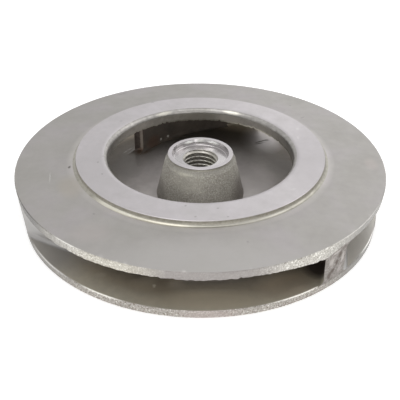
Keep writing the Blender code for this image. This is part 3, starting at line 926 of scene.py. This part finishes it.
def object_materials():
    """All materials, in the order of the finish numbers."""
    # The rim's whitest grains are painted sparkles
    rim = [(0.34, (0.19, 0.17, 0.14)), (0.43, (0.44, 0.42, 0.38))]
    rim += [(0.56, (0.56, 0.54, 0.5)), (0.66, WHITE)]
    raw = [(0.36, (0.2, 0.185, 0.15)), (0.55, (0.3, 0.28, 0.24)), (0.68, (0.42, 0.4, 0.35))]
    bore = [(0.35, (0.4, 0.38, 0.345)), (0.6, (0.48, 0.46, 0.42)), (0.75, (0.55, 0.53, 0.49))]
    # Painted shade for the ring's outer wall and for the groove and step under the hub's top
    crease = [(0.4, (0.3, 0.28, 0.235)), (0.6, (0.38, 0.36, 0.305))]
    # Painted highlight for the ring's fillet and the eye's torn lip
    glint = [(0.36, (0.35, 0.335, 0.29)), (0.66, (0.46, 0.44, 0.385))]
    # The cone's palest grains are painted sparkles
    cone = [(0.36, (0.25, 0.235, 0.2)), (0.52, (0.355, 0.335, 0.3))]
    cone += [(0.66, (0.5, 0.48, 0.41)), (0.75, PALE)]
    side = [(0.35, (0.375, 0.365, 0.355)), (0.65, (0.425, 0.415, 0.405))]
    # The vanes' noses are darkened as painted shade
    nose = [(0.35, (0.08, 0.065, 0.055)), (0.65, (0.13, 0.105, 0.09))]
    # The back rim's palest grains are painted sparkles
    back_rim = [(0.35, (0.17, 0.14, 0.11)), (0.46, (0.36, 0.335, 0.3))]
    back_rim += [(0.57, (0.47, 0.44, 0.41)), (0.68, PALE)]
    # The vanes' inner sides: a brown oxide film, darkened further as painted shade
    hollow = [(0.35, (0.078, 0.066, 0.054)), (0.65, (0.125, 0.102, 0.082))]
    tip = [(0.35, (0.16, 0.14, 0.12)), (0.5, (0.245, 0.222, 0.205)), (0.66, (0.345, 0.318, 0.298))]
    chamfer = [(0.36, (0.33, 0.315, 0.3)), (0.55, (0.4, 0.385, 0.365)), (0.75, (0.5, 0.48, 0.46))]
    coarse, scraped = (0.45 * MM, 0.12 * MM, 0.8), (0.7 * MM, 0.12 * MM, 0.6)
    fine, faint = (0.6 * MM, 0.05 * MM, 0.3), (0.5 * MM, 0.05 * MM, 0.25)
    return [
        skin_material(),
        turned_material(),
        metal("rim_grain", 0.42, 0.75, 0.75 * MM, rim, coarse, marks=RIM_MARKS).material,
        metal("raw_casting", 0.55, 0.5, 1.2 * MM, raw, coarse).material,
        metal("bored_wall", 0.32, 0.85, 3.0 * MM, bore, faint, marks=BORE_PAINTED_LIGHT).material,
        inner_floor_material(),
        metal("painted_crease_shade", 0.5, 0.5, 1.5 * MM, crease, fine).material,
        metal("painted_glint_edge", 0.32, 0.85, 3.4 * MM, glint, fine, marks=PAINTED_GLINT_MARKS).material,
        metal("cone_skin_and_painted_light", 0.62, 0.3, 0.7 * MM, cone, coarse, (0.9, 1.08), CONE_PAINTED_LIGHT).material,
        seat_material(),
        metal("vane_side", 0.45, 0.6, 9 * MM, side, fine).material,
        metal("vane_hollow", 0.7, 0.2, 9 * MM, hollow, fine, marks=HOLLOW_MARKS).material,
        metal("vane_tip", 0.48, 0.6, 1.4 * MM, tip, scraped, marks=TIP_MARKS).material,
        metal("eye_chamfer", 0.36, 0.8, 2.4 * MM, chamfer, fine, marks=CHAMFER_PAINTED_LIGHT).material,
        metal("back_rim_grain", 0.45, 0.7, 0.8 * MM, back_rim, coarse, marks=BACK_RIM_PAINTED_LIGHT).material,
        metal("vane_nose", 0.5, 0.5, 2.0 * MM, nose, fine, marks=NOSE_MARKS).material,
    ]


def floor_material():
    paint = Paint("pale_floor", 0.9, 0.0)
    paint.shader.inputs["Base Color"].default_value = (0.95, 0.95, 0.95, 1)
    paint.shader.inputs["Emission Color"].default_value = (1, 1, 1, 1)
    paint.shader.inputs["Emission Strength"].default_value = 0.3
    return paint.material


# Name, place, size and power of each soft light
LIGHTS = (
    ("key", (-0.2, -0.3, 1.0), 0.8, 3.4),
    ("right", (0.8, 0.2, 0.7), 0.8, 2.2),
    ("back", (0.5, 1.3, 0.7), 1.0, 1.6),
    ("front", (0.1, -1.2, 0.2), 0.8, 2.6),
)
LIGHT_TARGET = (0, 0, 0.02)
SKY_STRENGTH = 0.75
FLOOR_SIZE = 8

# The camera as fitted to the photo: place in metres, turns in degrees, focal length in its pixels
CAMERA_PLACE = (0, -0.33483, 0.22008)
CAMERA_YAW = 0.013
CAMERA_PITCH = 90 - 33.269
CAMERA_ROLL = 0.347
FOCAL_PIXELS = 700.46
PHOTO_PIXELS = 400
SENSOR = 36


def area_light(name, place, size, power):
    light = bpy.data.lights.new(name, "AREA")
    light.size = size
    light.energy = power
    obj = bpy.data.objects.new(name, light)
    bpy.context.scene.collection.objects.link(obj)
    obj.location = place
    aim = Vector(LIGHT_TARGET) - Vector(place)
    obj.rotation_euler = aim.to_track_quat("-Z", "Y").to_euler()


def stage():
    """Pale floor, soft lights and a white surround."""
    bpy.ops.mesh.primitive_plane_add(size=FLOOR_SIZE)
    floor = bpy.context.object
    floor.name = "floor"
    floor.data.materials.append(floor_material())
    for light in LIGHTS:
        area_light(*light)
    world = bpy.data.worlds.new("studio")
    bpy.context.scene.world = world
    world.use_nodes = True
    background = world.node_tree.nodes["Background"]
    background.inputs["Color"].default_value = (1, 1, 1, 1)
    background.inputs["Strength"].default_value = SKY_STRENGTH


def camera():
    """The photo's camera."""
    data = bpy.data.cameras.new("camera")
    data.sensor_width = SENSOR
    data.lens = FOCAL_PIXELS / PHOTO_PIXELS * SENSOR
    data.clip_start = 0.01
    obj = bpy.data.objects.new("camera", data)
    bpy.context.scene.collection.objects.link(obj)
    yaw = Matrix.Rotation(math.radians(CAMERA_YAW), 4, "Z")
    pitch = Matrix.Rotation(math.radians(CAMERA_PITCH), 4, "X")
    roll = Matrix.Rotation(math.radians(CAMERA_ROLL), 4, "Z")
    obj.matrix_world = Matrix.Translation(CAMERA_PLACE) @ yaw @ pitch @ roll
    bpy.context.scene.camera = obj
    bpy.context.scene.view_settings.view_transform = "Standard"


def main():
    materials = object_materials()
    pieces = [
        turned_piece("front_shroud", front_profile(), FRONT_STEPS, materials, seed=1),
        turned_piece("back_shroud_and_hub", back_profile(), BACK_STEPS, materials, seed=2),
        turned_piece("hub_seat_and_thread", seat_profile(), SEAT_STEPS, materials, seed=3),
    ]
    for number, turn in enumerate(VANE_TURNS, start=1):
        pieces.append(vane_piece(f"vane_{number}", turn, materials, 10 * number))
    for piece in pieces:
        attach(piece, "root")
        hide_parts("impeller_casting")
    stage()
    camera()


main()
